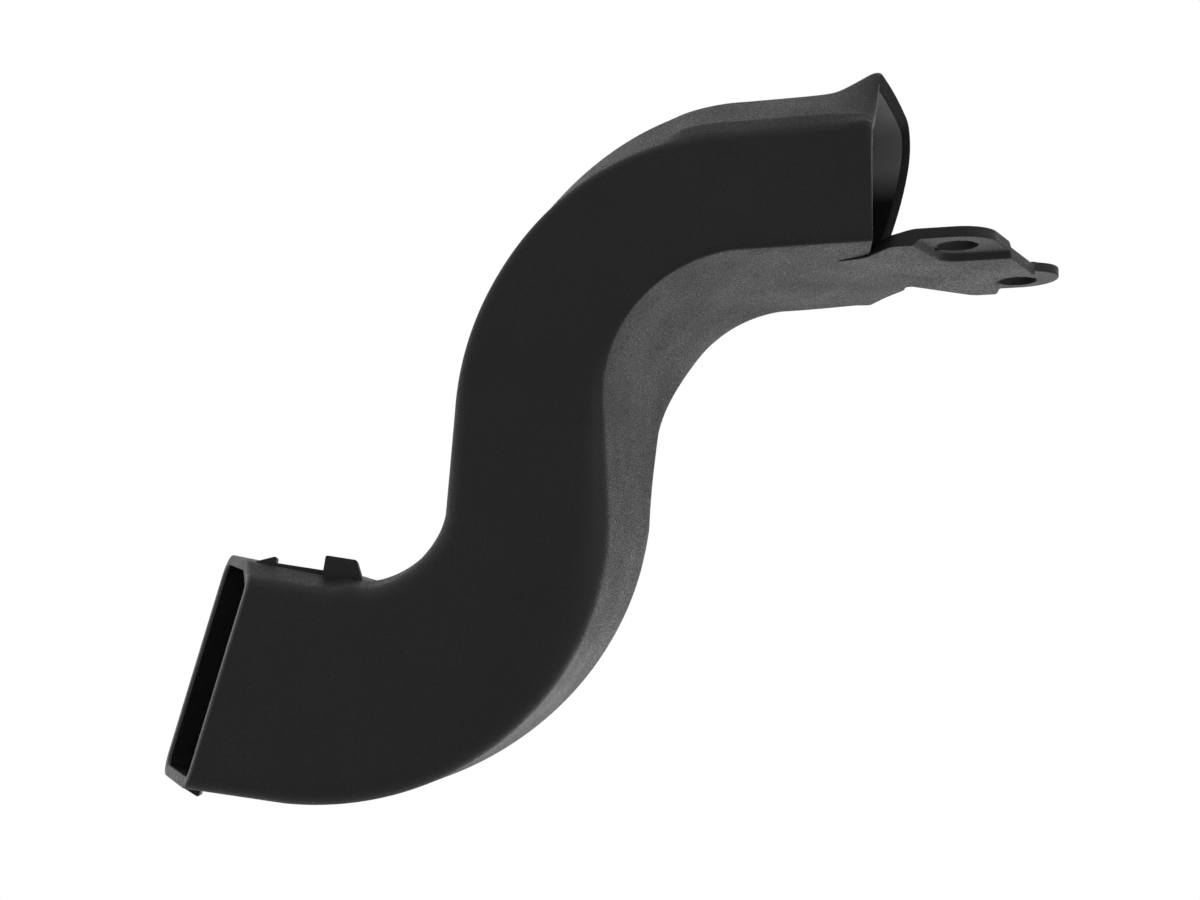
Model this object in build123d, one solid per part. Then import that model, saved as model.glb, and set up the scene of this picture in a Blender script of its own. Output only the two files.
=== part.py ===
from build123d import *
import math
import os

# Moulded wall of the duct
wall = 4.5
inner_corner = 1.5

# Path of the duct from its mouth to its outlet, along the middle of the near side wall
mouth_run = 55.4
upper_bend_radius = 86.5
upper_bend_angle = 88.0
middle_run = 44.0
lower_bend_radius = 76.5
lower_bend_angle = 96.7
outlet_run = 34.0
outlet_swing = 20.0

# Height of the near side wall, and width of the duct behind it
mouth_height = 47.0
throat_height = 69.0
outlet_height = 86.0
mouth_width = 122.0
throat_width = 78.0
outlet_width = 66.0
narrowing_start = 125.0
narrowing_end = 245.0

# Roof: a slope that climbs from the near wall to a ridge, then a flatter top to the far wall
mouth_slope_width = 29.0
mouth_slope_rise = 22.0
mouth_top_rise = 27.5
throat_slope_width = 16.0
throat_slope_rise = 3.0
throat_top_rise = 5.0
outlet_slope_width = 18.0
outlet_slope_rise = 8.5
outlet_top_rise = 11.5
roof_fade_end = 150.0
mouth_floor_fall = 1.0
run_floor_fall = 4.0
throat_floor_fall = 2.5

# Step down of the near wall's top edge, a little way in from the mouth
edge_step = 2.4
edge_step_start = 68.0
edge_step_end = 79.0

# Corner rounding along the duct
mouth_corner = 3.0
crease_corner = 4.5
elbow_corner = 10.0
outlet_corner = 8.5
far_corner = 10.0
floor_corner = 4.0
lip_corner = 16.0

# Lip of the mouth: its roof flares, and its far side hangs over at the top and falls back at the bottom
flare_length = 17.0
flare_rise = 12.0
flare_lean = 4.3
far_flare_rise = 7.3
flare_spread = 6.2
lip_overhang = 3.5
lip_setback = 27.8
lip_bulge = 19.9

# Outlet end, cut at a slant to the duct
outlet_slant = 17.0
outlet_lean = 6.5

# Snap wedges above and below the outlet, with the land and the stop tab behind the upper one
wedge_setback = 3.5
lower_wedge_setback = 0.6
wedge_length = 7.5
wedge_rise = 3.8
wedge_width = 9.0
wedge_side = 19.0
land_rise = 1.2
stop_setback = 34.8
stop_length = 10.5
stop_foot = 5.0
stop_rise = 8.0
stop_width = 14.0

# Fixing bracket under the mouth
plate = 4.3
plate_drop = 0.8
hole_radius = 8.0
near_hole_reach = 30.5
near_hole_side = 24.0
far_hole_reach = 50.5
far_hole_side = 98.0
near_lobe = 16.0
far_lobe = 12.5
ear_radius = 17.5
ear_shift = 3.5
ear_thickness = 3.9
pad_step = 2.0
pad_margin = 16.5
pad_depth = 17.5
pad_corner = 8.0
root_length = 30.0
root_reach = 9.0
root_width = 76.0
gusset_side = 93.0
gusset_reach = 15.7
ledge_reach = 8.0
ledge_side = 26.0

# Distance between the sections that shape the duct, and between the points of its path
section_spacing = 9.0
path_step = 1.0


def blend(start, end, share):
    """Smooth change from start to end while share goes from 0 to 1."""
    share = min(max(share, 0.0), 1.0)
    return start + (end - start) * share * share * (3 - 2 * share)


def ramp(distance, start, length):
    """Share of a stretch of the path that is covered at that distance from the mouth."""
    return min(max((distance - start) / length, 0.0), 1.0)


def bend_starts():
    """Length of the upper bend, distances at which the lower bend starts and ends, and the path's length."""
    upper_arc = math.radians(upper_bend_angle) * upper_bend_radius
    lower_arc = math.radians(lower_bend_angle) * lower_bend_radius
    lower_start = mouth_run + upper_arc + middle_run
    return upper_arc, lower_start, lower_start + lower_arc, lower_start + lower_arc + outlet_run


def path_angles(distance):
    """Downward pitch and sideways swing of the duct at that distance from the mouth, in radians."""
    upper_arc, lower_start, lower_end, _ = bend_starts()
    lower = ramp(distance, lower_start, lower_end - lower_start)
    pitch = upper_bend_angle * ramp(distance, mouth_run, upper_arc) - lower_bend_angle * lower
    return math.radians(pitch), math.radians(outlet_swing * lower)


def duct_plane(distance):
    """Plane across the duct: its x runs to the far wall, its y to the roof and its z back to the mouth."""
    steps = max(round(abs(distance) / path_step), 1)
    step = distance / steps
    place = Vector(0, 0, mouth_height / 2)
    for index in range(steps):
        pitch, swing = path_angles((index + 0.5) * step)
        level = step * math.cos(pitch)
        place -= Vector(level * math.cos(swing), level * math.sin(swing), step * math.sin(pitch))
    pitch, swing = path_angles(distance)
    back = Vector(math.cos(pitch) * math.cos(swing), math.cos(pitch) * math.sin(swing), math.sin(pitch))
    across = Vector(-math.sin(swing), math.cos(swing), 0)
    return Plane(origin=place, x_dir=across, z_dir=back)


def section_corners(distance):
    """Corners of the duct's section and their roundings, from the near bottom corner round to the far one."""
    _, _, lower_end, path_length = bend_starts()
    opened = ramp(distance, mouth_run, narrowing_end - mouth_run)
    narrowed = (distance - narrowing_start) / (narrowing_end - narrowing_start)
    roofed = (distance - mouth_run) / (roof_fade_end - mouth_run)
    deepened = ramp(distance, narrowing_end, lower_end - narrowing_end)
    slimmed = max(distance - narrowing_end, 0.0) / (path_length - narrowing_end)
    height = mouth_height + (throat_height - mouth_height) * opened + (outlet_height - throat_height) * deepened
    width = blend(mouth_width, throat_width, narrowed) + (outlet_width - throat_width) * slimmed
    slope_width = blend(mouth_slope_width, throat_slope_width, roofed)
    slope_width += (outlet_slope_width - throat_slope_width) * slimmed
    slope_rise = blend(mouth_slope_rise, throat_slope_rise, roofed)
    slope_rise += (outlet_slope_rise - throat_slope_rise) * slimmed
    top_rise = blend(mouth_top_rise, throat_top_rise, roofed) + (outlet_top_rise - throat_top_rise) * slimmed
    floor_fall = blend(mouth_floor_fall, run_floor_fall, distance / mouth_run)
    floor_fall = (floor_fall + blend(0, throat_floor_fall - run_floor_fall, narrowed)) * (1 - slimmed)
    far_low_corner = blend(floor_corner, far_corner, distance / mouth_run)
    low_corner = blend(mouth_corner, elbow_corner, narrowed) + (outlet_corner - elbow_corner) * slimmed
    high_corner = blend(crease_corner, elbow_corner, narrowed) + (outlet_corner - elbow_corner) * slimmed
    stepped = blend(edge_step, 0, ramp(distance, edge_step_start, edge_step_end - edge_step_start))
    corners = [
        (0, -height / 2),
        (0, height / 2 + stepped),
        (slope_width, height / 2 + slope_rise),
        (width, height / 2 + top_rise),
        (width, -height / 2 - floor_fall),
    ]
    return corners, [low_corner, high_corner, far_corner, far_corner, far_low_corner]


def inset_outline(corners, inset):
    """Moves every side of an outline inward by the inset, so that a wall of that thickness is left."""
    moved = []
    for index, (x, y) in enumerate(corners):
        before = corners[index - 1]
        after = corners[(index + 1) % len(corners)]
        arrive = Vector(x - before[0], y - before[1]).normalized()
        leave = Vector(after[0] - x, after[1] - y).normalized()
        sides = Vector(arrive.Y, -arrive.X) + Vector(leave.Y, -leave.X)
        reach = inset / (1 + arrive.dot(leave))
        moved.append((x + sides.X * reach, y + sides.Y * reach))
    return moved


def section_face(plane, corners, roundings, inset):
    """Rounded section of the duct on its plane, moved inward by the inset."""
    radii = [max(rounding - inset, inner_corner) for rounding in roundings]
    outline = FilletPolyline(*inset_outline(corners, inset), radius=radii, close=True)
    return plane * make_face(outline)


def duct_solid(inset, overrun):
    """Solid duct from past the lip of the mouth to past the outlet, moved inward by the inset."""
    path_end = bend_starts()[-1]
    reserve = outlet_width * math.tan(math.radians(outlet_slant)) + 2 * outlet_corner
    shaped = path_end + reserve - flare_length
    count = round(shaped / section_spacing)
    corners, roundings = section_corners(0)
    corners[2] = (corners[2][0] - flare_lean, corners[2][1] + flare_rise)
    corners[3] = (corners[3][0] + flare_spread, corners[3][1] + far_flare_rise)
    roundings[3] = lip_corner
    sections = [section_face(duct_plane(-lip_overhang - overrun), corners, roundings, inset)]
    for index in range(count + 1):
        distance = flare_length + shaped * index / count
        sections.append(section_face(duct_plane(distance), *section_corners(distance), inset))
    return loft(sections, ruled=True)


def lip_cutter():
    """Block ahead of the mouth whose back follows the lip, upright at the near wall and curved at the far one."""
    top = mouth_height + mouth_top_rise + flare_rise
    margin = 3 * wall
    ahead = lip_overhang + 5 * wall
    ends = []
    for side in (-margin, mouth_width + margin):
        share = side / mouth_width
        low = (-lip_setback * share, -margin)
        middle = ((lip_overhang - lip_setback + lip_bulge) * share / 2, top / 2)
        high = (lip_overhang * share, top + margin)
        outline = [
            Spline(low, middle, high),
            Line(high, (ahead, top + margin)),
            Line((ahead, top + margin), (ahead, -margin)),
            Line((ahead, -margin), low),
        ]
        ends.append(Plane(origin=(0, side, 0), x_dir=(1, 0, 0), z_dir=(0, -1, 0)) * make_face(outline))
    return loft(ends, ruled=True)


def outlet_cutter():
    """Block past the slanted end of the outlet."""
    reach = 2 * outlet_height
    end = duct_plane(bend_starts()[-1]) * Rot(0, outlet_slant, 0) * Rot(outlet_lean, 0, 0)
    return end * Box(2 * reach, 2 * reach, reach, align=(Align.CENTER, Align.CENTER, Align.MAX))


def side_profile(points, width):
    """Prism whose outline is given as distance back from the outlet and height, as wide as that across the duct."""
    outline = make_face(Polyline(*points, close=True))
    return Plane.YZ * extrude(outline, width)


def wall_height(distance, side, above):
    """Height of the roof or the floor over the middle of the near wall, that far across the duct."""
    corners = section_corners(distance)[0]
    ends = corners[2:4] if above else [corners[0], corners[4]]
    share = (side - ends[0][0]) / (ends[1][0] - ends[0][0])
    return ends[0][1] + (ends[1][1] - ends[0][1]) * share


def outlet_spot(setback, side, above):
    """Plane on the outside of the outlet, above or below it, that far back from its slanted end."""
    path_end = bend_starts()[-1]
    slant = math.radians(outlet_slant)
    lean = math.radians(outlet_lean)
    height = wall_height(path_end, side, above)
    distance = path_end - setback - height * math.tan(lean) / math.cos(slant) + side * math.tan(slant)
    return duct_plane(distance) * Pos(side, wall_height(distance, side, above), 0)


def snap_wedge(root):
    """Ramp that climbs away from the outlet to a square back, sunk into its wall by the root."""
    outline = [(-root, 0), (0, 0), (wedge_rise, wedge_length), (-root, wedge_length)]
    return side_profile(outline, wedge_width)


def outlet_fittings():
    """Snap wedges above and below the outlet, and the land and stop tab behind the upper one."""
    root = wall / 2
    upper = outlet_spot(wedge_setback, wedge_side, True) * snap_wedge(root)
    turned = Rot(0, 0, 180) * Pos(-wedge_width, 0, 0) * snap_wedge(root)
    lower = outlet_spot(lower_wedge_setback, wedge_side, False) * turned
    land_start = wedge_setback + wedge_length
    land_length = stop_setback - land_start + root
    land = side_profile([(-root, 0), (land_rise, 0), (land_rise, land_length), (-root, land_length)], wedge_width)
    land = outlet_spot(land_start, wedge_side, True) * land
    foot = stop_length + stop_foot
    tab = side_profile([(-root, 0), (stop_rise, 0), (stop_rise, stop_length), (-root, foot)], stop_width)
    tab = outlet_spot(stop_setback, wedge_side, True) * Pos(-stop_width / 4, 0, 0) * tab
    return upper + lower + land + tab


def hole_places():
    """Places of the two fixing holes in the bracket."""
    return [(near_hole_reach, near_hole_side), (far_hole_reach, far_hole_side)]


def mount_shift():
    """Move that brings the middle of the two fixing holes, at the underside of their pads, to the origin."""
    return -(near_hole_reach + far_hole_reach) / 2, -(near_hole_side + far_hole_side) / 2, plate_drop - pad_step


def slab(sketch, low, high):
    """Flat piece of that outline between two heights."""
    return Pos(0, 0, low) * extrude(sketch, high - low)


def bracket():
    """Fixing bracket: a plate under the mouth with a raised pad round each hole."""
    near_hole, far_hole = hole_places()
    near_edge = near_hole_side - near_lobe
    ear_side = far_hole_side - ear_shift
    root = Polygon(
        (-ledge_reach, ledge_side),
        (0, near_edge + plate),
        (root_reach, near_edge),
        (near_hole_reach, near_edge),
        (far_hole_reach, far_hole_side),
        (far_hole_reach, ear_side + ear_radius),
        (near_hole_reach, ear_side + ear_radius),
        (wall, near_edge + root_width),
        (wall / 2, gusset_side),
        (-gusset_reach, mouth_width - wall / 2),
        (-root_length, mouth_width - far_corner),
        (-root_length, ledge_side + 2 * plate),
        align=None,
    )
    arm = make_hull((Pos(*near_hole) * Circle(near_lobe) + Pos(*far_hole) * Circle(far_lobe)).edges())
    ear = Pos(far_hole_reach, ear_side) * Circle(ear_radius)
    pad = Pos(near_hole_reach - pad_margin, near_hole_side + pad_depth) * RectangleRounded(
        2 * near_lobe + 2 * pad_margin, 4 * pad_depth, pad_corner, align=(Align.MIN, Align.MAX)
    )
    outline = root + arm + ear
    pad = pad & outline
    body = slab(outline - pad - ear, -plate_drop, plate - plate_drop)
    body += slab(pad, pad_step - plate_drop, pad_step - plate_drop + plate)
    body += slab(ear, pad_step - plate_drop, pad_step - plate_drop + ear_thickness)
    for place in hole_places():
        body -= slab(Pos(*place) * Circle(hole_radius), -plate, 2 * plate)
    return body


def main():
    os.makedirs("parts", exist_ok=True)
    outer = duct_solid(0, wall) - outlet_cutter()
    outer += outlet_fittings()
    duct = outer - duct_solid(wall, 2 * wall) - lip_cutter()
    scoop = Pos(*mount_shift()) * (duct + bracket())
    print("scoop is valid:", scoop.is_valid, "solids:", len(scoop.solids()), "volume:", round(scoop.volume))
    export_step(scoop, "parts/scoop.step")


main()
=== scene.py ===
"""Air intake scoop in matte black plastic.

One moulding: a duct with a flared mouth, an S path and a slanted outlet, snap wedges at the outlet,
and a flat fixing bracket under the mouth. Lengths in the classes are millimetres. The classes work in
a frame with its origin at the near bottom corner of the mouth: x out of the mouth, y across to the far
wall, z up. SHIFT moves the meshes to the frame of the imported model, and they are scaled to metres.
"""

from __future__ import annotations

import logging
import math
from dataclasses import dataclass, field
from enum import Enum

import bmesh
import bpy
import numpy as np
from mathutils import Matrix, Vector
from mathutils.geometry import delaunay_2d_cdt

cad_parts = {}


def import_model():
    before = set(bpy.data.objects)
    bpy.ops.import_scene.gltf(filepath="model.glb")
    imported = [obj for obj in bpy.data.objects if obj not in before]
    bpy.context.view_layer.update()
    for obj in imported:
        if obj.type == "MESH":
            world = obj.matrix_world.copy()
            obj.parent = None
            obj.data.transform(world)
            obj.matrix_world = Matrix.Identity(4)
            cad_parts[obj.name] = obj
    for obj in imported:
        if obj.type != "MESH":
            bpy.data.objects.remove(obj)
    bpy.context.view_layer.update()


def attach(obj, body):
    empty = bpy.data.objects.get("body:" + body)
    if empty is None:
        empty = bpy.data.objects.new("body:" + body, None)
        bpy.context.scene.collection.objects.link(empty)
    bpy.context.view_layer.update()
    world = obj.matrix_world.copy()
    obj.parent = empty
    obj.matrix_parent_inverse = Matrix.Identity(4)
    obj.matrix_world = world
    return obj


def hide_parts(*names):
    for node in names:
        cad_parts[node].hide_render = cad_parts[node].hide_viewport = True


LOG = logging.getLogger("scoop")
MILLIMETRE = 0.001
SHIFT = (-40.5, -61.0, -1.2)
QUARTER_STEPS = 5
SOLVE_ROUNDS = 10
# Near black of the painted shadow inside the duct, below the inside finish's painted shade heights.
SHADOW_COLOUR = (0.003, 0.003, 0.0032)
WHITE = (1.0, 1.0, 1.0, 1.0)

Triple = tuple[float, float, float]
Array = np.ndarray
Socket = bpy.types.NodeSocket
Piece = bpy.types.Object


class Node(Enum):
    """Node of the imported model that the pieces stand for."""

    SCOOP = "scoop"


class Slot(Enum):
    """Material slot of the record."""

    SHELL = "shell"


class Side(Enum):
    """Face of the outlet that carries a fitting."""

    ROOF = 1.0
    FLOOR = -1.0


class Zone(Enum):
    """Part of the duct's skin that a row of its mesh lies on."""

    OUTSIDE = 0
    OUTLET_RIM = 1
    INSIDE = 2
    LIP_RIM = 3


class Finish(Enum):
    """Finish of the duct's faces, in the order of its material slots."""

    SHELL = 0
    TRIMMED = 1
    # Inside: painted light in its grey colour, painted shade towards the bottom.
    PAINTED_LIGHT_AND_SHADE = 2
    COARSE = 3


FINISH_OF_ZONE = (Finish.SHELL.value, Finish.TRIMMED.value, Finish.PAINTED_LIGHT_AND_SHADE.value, Finish.TRIMMED.value)


def smooth_share(share: Array) -> Array:
    """Share of a smooth change, 3 s^2 - 2 s^3, held at 0 and 1 outside the stretch."""
    share = np.clip(share, 0.0, 1.0)
    return share * share * (3.0 - 2.0 * share)


def straight_share(place: Array, start: float, end: float) -> Array:
    """Share of the way from start to end at which each place lies, not held at either."""
    return (place - start) / (end - start)


def between(start: float, end: float, share: Array) -> Array:
    """Value that changes smoothly from start at share 0 to end at share 1."""
    return start + (end - start) * smooth_share(share)


def staged(sizes: Triple, narrowed: Array, slimmed: Array) -> Array:
    """Size that goes smoothly from its mouth to its throat value, then straight to its outlet value."""
    return between(sizes[0], sizes[1], narrowed) + (sizes[2] - sizes[1]) * slimmed


def rounded_ends(radius: float, length: float) -> tuple[Array, Array]:
    """Insets r - r sin(a) at places r - r cos(a) along an edge, then the same from its other end.

    Args:
        radius: Radius of the quarter round at either end.
        length: Length of the edge.

    Returns:
        Insets and places, QUARTER_STEPS for each end.
    """
    angle = np.linspace(0.0, math.pi / 2.0, QUARTER_STEPS)
    inset, along = radius - radius * np.sin(angle), radius - radius * np.cos(angle)
    return np.concatenate([inset, inset[::-1]]), np.concatenate([along, length - along[::-1]])


def unit(vectors: Array) -> Array:
    """Vectors along the last axis, each divided by its length."""
    return vectors / np.linalg.norm(vectors, axis=-1, keepdims=True)


@dataclass(frozen=True)
class RingStations:
    """Places round a rounded outline: on the arc of a corner, or on the straight run after it."""

    corner: Array
    turn: Array
    run: Array

    @property
    def travelled(self) -> Array:
        """Place round the outline, counted in corners: half for a corner's arc, half for the run after it."""
        return self.corner + (self.turn + self.run) / 2.0

    @classmethod
    def spread(cls, arc_steps: tuple[int, ...], run_steps: tuple[int, ...]) -> RingStations:
        """Stations with the given number of steps on each corner's arc and on the run after it.

        Args:
            arc_steps: Steps on each corner's arc.
            run_steps: Steps on the straight run after each corner.

        Returns:
            Stations in order round the outline.
        """
        corner, turn, run = [], [], []
        for index, (arcs, runs) in enumerate(zip(arc_steps, run_steps)):
            inner = np.linspace(0.0, 1.0, runs + 1)[1:-1]
            corner.append(np.full(arcs + 1 + inner.size, index))
            turn.append(np.concatenate([np.linspace(0.0, 1.0, arcs + 1), np.ones(inner.size)]))
            run.append(np.concatenate([np.zeros(arcs + 1), inner]))
        return cls(np.concatenate(corner), np.concatenate(turn), np.concatenate(run))


def rounded_outline(
    corners: Array, radii: Array, inset: Array, smallest: float, stations: RingStations
) -> Array:
    """Points of a clockwise outline with rounded corners, moved inward by the inset.

    Each side moves inward, so a corner moves by inset / (1 + arrive . leave) along the sum of the two
    inward normals. Its arc is centre - normal r cos(a) + arrive r sin(a), with a from 0 to the turn.

    Args:
        corners: Sharp corners, shape (..., corners, 2).
        radii: Roundings, shape (..., corners).
        inset: Move inward, broadcast to the shape of the roundings.
        smallest: Least rounding that is left after the move.
        stations: Places round the outline; the last axis but two of corners holds one entry for each.

    Returns:
        Points, shape (..., 2), one for each station.
    """
    arrive = unit(corners - np.roll(corners, 1, axis=-2))
    leave = np.roll(arrive, -1, axis=-2)
    inward = np.stack([arrive[..., 1], -arrive[..., 0]], axis=-1)
    along = np.sum(arrive * leave, axis=-1)
    bend = np.sign(arrive[..., 1] * leave[..., 0] - arrive[..., 0] * leave[..., 1])
    turn = np.arccos(np.clip(along, -1.0, 1.0))
    moved = corners + (inward + np.roll(inward, -1, axis=-2)) * (inset / (1.0 + along))[..., None]
    radius = np.maximum(radii - bend * inset, smallest)
    start = moved - arrive * (radius * np.tan(turn / 2.0))[..., None]
    centre = start + inward * (radius * bend)[..., None]
    count = corners.shape[-2]
    ring = np.arange(stations.corner.size)
    here = stations.corner
    after = (here + 1) % count
    angle = stations.turn * turn[..., ring, here]
    normal = inward[..., ring, here, :] * (bend * radius)[..., ring, here, None]
    ahead = arrive[..., ring, here, :] * radius[..., ring, here, None]
    arc = centre[..., ring, here, :] - normal * np.cos(angle)[..., None] + ahead * np.sin(angle)[..., None]
    return arc + (start[..., ring, after, :] - arc) * stations.run[..., None]


@dataclass(frozen=True)
class DuctPath:
    """Line that the duct follows, along the middle of its near wall: a run, a bend down, a bend level."""

    mouth_run: float = 55.4
    upper_radius: float = 86.5
    upper_angle: float = 88.0
    middle_run: float = 44.0
    lower_radius: float = 76.5
    lower_angle: float = 96.7
    outlet_run: float = 34.0
    outlet_swing: float = 20.0
    start_height: float = 23.5
    lead: float = 40.0
    step: float = 0.25

    @property
    def upper_arc(self) -> float:
        """Length of the upper bend."""
        return math.radians(self.upper_angle) * self.upper_radius

    @property
    def lower_start(self) -> float:
        """Distance at which the lower bend starts."""
        return self.mouth_run + self.upper_arc + self.middle_run

    @property
    def lower_end(self) -> float:
        """Distance at which the lower bend ends."""
        return self.lower_start + math.radians(self.lower_angle) * self.lower_radius

    @property
    def length(self) -> float:
        """Length of the whole path."""
        return self.lower_end + self.outlet_run

    def angles(self, distance: Array) -> tuple[Array, Array]:
        """Downward pitch and sideways swing, each in proportion to the share of its bend.

        Args:
            distance: Distances from the mouth.

        Returns:
            Pitch and swing in radians.
        """
        upper = np.clip((distance - self.mouth_run) / self.upper_arc, 0.0, 1.0)
        lower = np.clip((distance - self.lower_start) / (self.lower_end - self.lower_start), 0.0, 1.0)
        pitch = self.upper_angle * upper - self.lower_angle * lower
        return np.radians(pitch), np.radians(self.outlet_swing * lower)

    def heading(self, distance: Array) -> tuple[Array, Array, Array]:
        """Directions across to the far wall, up to the roof and back to the mouth.

        Args:
            distance: Distances from the mouth.

        Returns:
            Three arrays of unit vectors, shape (..., 3).
        """
        pitch, swing = self.angles(distance)
        level = np.cos(pitch)
        back = np.stack([level * np.cos(swing), level * np.sin(swing), np.sin(pitch)], axis=-1)
        across = np.stack([-np.sin(swing), np.cos(swing), np.zeros_like(swing)], axis=-1)
        return across, np.cross(back, across), back

    def line(self, distance: Array) -> Array:
        """Points on the path: short steps against the direction back, added up from the mouth.

        Args:
            distance: Distances from the mouth.

        Returns:
            Points, shape (..., 3).
        """
        knots = np.arange(-self.lead, self.length + self.lead, self.step)
        back = self.heading(knots[:-1] + self.step / 2.0)[2]
        travelled = np.concatenate([np.zeros((1, 3)), np.cumsum(-self.step * back, axis=0)])
        axes = [np.interp(distance, knots, travelled[:, axis]) for axis in range(3)]
        zero = np.array([np.interp(0.0, knots, travelled[:, axis]) for axis in range(3)])
        return np.stack(axes, axis=-1) - zero + np.array([0.0, 0.0, self.start_height])

    def place(self, distance: Array, across: Array, up: Array) -> Array:
        """Points beside the path: line + across x + up y."""
        far, roof, _ = self.heading(distance)
        return self.line(distance) + far * across[..., None] + roof * up[..., None]


@dataclass(frozen=True)
class DuctSection:
    """Section of the duct: near wall, a slope to a ridge, a flatter top, far wall and floor.

    A triple holds a size at the mouth, the throat and the outlet. The floor's falls are those at the
    mouth, at the end of the first run and at the throat.
    """

    path: DuctPath = field(default_factory=DuctPath)
    wall: float = 4.5
    inner_corner: float = 1.5
    height: Triple = (47.0, 69.0, 86.0)
    width: Triple = (122.0, 78.0, 66.0)
    slope_width: Triple = (29.0, 16.0, 18.0)
    slope_rise: Triple = (22.0, 3.0, 8.5)
    top_rise: Triple = (27.5, 5.0, 11.5)
    low_corner: Triple = (3.0, 13.0, 8.5)
    roof_corner: Triple = (5.0, 12.0, 8.5)
    floor_falls: Triple = (1.0, 4.0, 2.5)
    narrowing_start: float = 125.0
    narrowing_end: float = 245.0
    roof_fade_end: float = 150.0
    edge_step: float = 2.4
    edge_step_start: float = 68.0
    edge_step_end: float = 79.0
    crease_step: float = 0.5
    crease_drop: float = 2.8
    crease_start: float = -8.0
    crease_lead: float = 25.0
    crease_side: float = 4.6
    crease_width: float = 1.2
    crease_end: float = 78.0
    crease_fade: float = 8.0
    elbow_fill: float = 2.6
    elbow_fill_place: float = 337.0
    elbow_fill_spread: float = 13.0
    far_corner: float = 10.0
    floor_corner: float = 4.0
    lip_corner: float = 20.0
    lip_ridge: float = 17.0
    lip_pinch: float = 7.5
    lip_crown: float = 3.0
    lip_crown_start: float = 5.0
    lip_crown_blend: float = 20.0
    flare_length: float = 17.0
    flare_rise: float = 12.0
    flare_lean: float = 4.3
    far_flare_rise: float = 7.3
    flare_spread: float = 6.2
    flare_softness: float = 0.16
    lip_overhang: float = 3.5
    lip_setback: float = 27.8
    lip_bulge: float = 19.9
    outlet_slant: float = 17.0
    outlet_lean: float = 6.5

    def corners(self, distance: Array) -> tuple[Array, Array]:
        """Sharp corners and roundings of the section, from the near bottom corner clockwise.

        Every size is its mouth value, moved to its throat and outlet values by shares of the path. Ahead
        of the flare's start the corners move to those of the flared lip by the flare's share. The roof
        stands up by exp(-u^2) of the fill, with u the distance from its place over its spread.

        Args:
            distance: Distances from the mouth, any shape.

        Returns:
            Corners, shape (..., 5, 2), and roundings, shape (..., 5).
        """
        run_end, throat = self.path.mouth_run, self.narrowing_end
        opened = np.clip(straight_share(distance, run_end, throat), 0.0, 1.0)
        narrowed = straight_share(distance, self.narrowing_start, throat)
        roofed = straight_share(distance, run_end, self.roof_fade_end)
        deepened = np.clip(straight_share(distance, throat, self.path.lower_end), 0.0, 1.0)
        slimmed = np.maximum(straight_share(distance, throat, self.path.length), 0.0)
        stepped = straight_share(distance, self.edge_step_start, self.edge_step_end)
        height = self.height[0] + (self.height[1] - self.height[0]) * opened
        height = height + (self.height[2] - self.height[1]) * deepened
        width = staged(self.width, narrowed, slimmed)
        slope = staged(self.slope_width, roofed, slimmed)
        rise = staged(self.slope_rise, roofed, slimmed)
        top = staged(self.top_rise, roofed, slimmed)
        run = distance / run_end
        fall = between(self.floor_falls[0], self.floor_falls[1], run)
        fall = (fall + between(0.0, self.floor_falls[2] - self.floor_falls[1], narrowed)) * (1.0 - slimmed)
        flare = self.flare_share(distance)
        zero, half = np.zeros_like(height), height / 2.0
        filled = np.exp(-np.square((distance - self.elbow_fill_place) / self.elbow_fill_spread))
        roof = half + self.elbow_fill * filled
        corners = [
            (zero, -half),
            (zero, roof + between(self.edge_step, 0.0, stepped)),
            (slope - self.flare_lean * flare, roof + rise + self.flare_rise * flare),
            (width + self.flare_spread * flare, roof + top + self.far_flare_rise * flare),
            (width, -half - fall),
        ]
        roundings = [
            staged(self.low_corner, narrowed, slimmed),
            staged(self.roof_corner, narrowed, slimmed),
            self.far_corner + (self.lip_ridge - self.far_corner) * flare,
            self.far_corner + (self.lip_corner - self.far_corner) * flare,
            between(self.floor_corner, self.far_corner, run),
        ]
        points = np.stack([np.stack(pair, axis=-1) for pair in corners], axis=-2)
        return points, np.stack(roundings, axis=-1)

    def flare_share(self, distance: Array) -> Array:
        """Share of the lip's flare, (w + sqrt(w^2 + k^2)) / 2 of the straight share w, so it starts softly."""
        share = (self.flare_length - distance) / (self.flare_length + self.lip_overhang + self.wall)
        return (share + np.sqrt(share * share + self.flare_softness**2)) / 2.0

    def crowned(self, points: Array, corners: Array, distance: Array) -> Array:
        """Roof with its crease, and over the flare a sunk near slope and a risen top.

        The slope sinks and the top rises by 4 t (1 - t) of the way across each. As far as the crease's
        end, the roof beyond the crease stands a small smooth step higher, and between the near wall and
        the crease a band falls in proportion to the distance from the crease.

        Args:
            points: Points across and up, shape (rows, stations, 2).
            corners: Sharp corners of the section at each point.
            distance: Distances from the mouth.

        Returns:
            Points with the roof's new heights, same shape.
        """
        ridge, far = corners[..., 2, 0], corners[..., 3, 0]
        slope = np.clip(points[..., 0] / ridge, 0.0, 1.0)
        top = np.clip((points[..., 0] - ridge) / (far - ridge), 0.0, 1.0)
        lift = 4.0 * (self.lip_crown * top * (1.0 - top) - self.lip_pinch * slope * (1.0 - slope))
        roof = smooth_share((points[..., 1] - self.lip_crown_start) / self.lip_crown_blend)
        step = self.crease_step * smooth_share((points[..., 0] - self.crease_side) / self.crease_width)
        band = self.crease_drop * (1.0 - np.clip(points[..., 0] / self.crease_side, 0.0, 1.0))
        band = band * smooth_share((distance - self.crease_start) / self.crease_lead)
        crease = (step - band) * smooth_share((self.crease_end - distance) / self.crease_fade)
        height = points[..., 1] + (lift * self.flare_share(distance) + crease) * roof
        return np.stack([points[..., 0], height], axis=-1)

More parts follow.
